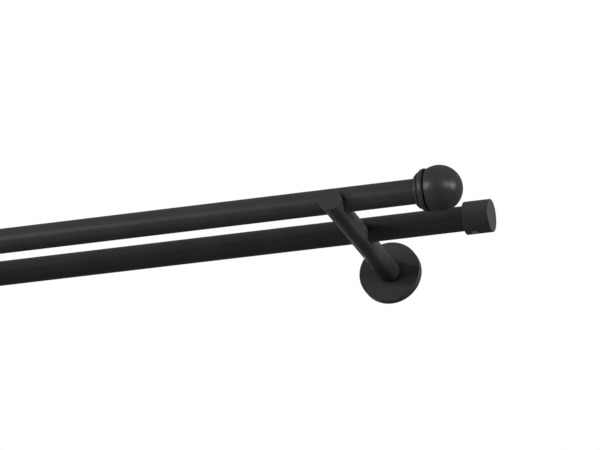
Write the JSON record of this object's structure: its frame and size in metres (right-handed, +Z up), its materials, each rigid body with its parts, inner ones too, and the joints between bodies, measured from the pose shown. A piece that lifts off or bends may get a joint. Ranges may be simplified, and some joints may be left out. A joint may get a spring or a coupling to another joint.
{
  "type": "double curtain pole",
  "caption": "Double curtain pole: round tubes in open saddles on wall arms with round rosettes, ball finials with stepped collars in front, plain end caps behind.",
  "frame": {"origin": "on the wall plane, midway between the brackets, at the height of the arms' axis", "axes": "+X along the poles, +Y from the room into the wall, +Z up"},
  "size_m": [1.2704, 0.17, 0.0506],
  "materials": {
    "black_coat": "matt black powder coat with a soft sheen",
    "zinc_plate": "bright zinc plate, hidden when fitted",
    "black_steel": "blackened steel",
    "black_nylon": "moulded black nylon, hidden when fitted"
  },
  "bodies": {
    "root": {"front_pole": "black_coat", "rear_pole": "black_coat", "left_finial_collar": "black_coat", "left_finial_ball": "black_coat", "left_end_cap": "black_coat", "left_arm": "black_coat", "left_rosette": "black_coat", "left_finial_stud": "zinc_plate", "left_wall_flange": "zinc_plate", "left_arm_screw": "zinc_plate", "left_pole_plug": "black_nylon", "left_end_cap_screw": "black_steel", "right_finial_collar": "black_coat", "right_finial_ball": "black_coat", "right_end_cap": "black_coat", "right_arm": "black_coat", "right_rosette": "black_coat", "right_finial_stud": "zinc_plate", "right_wall_flange": "zinc_plate", "right_arm_screw": "zinc_plate", "right_pole_plug": "black_nylon", "right_end_cap_screw": "black_steel"}
  },
  "joints": []
}
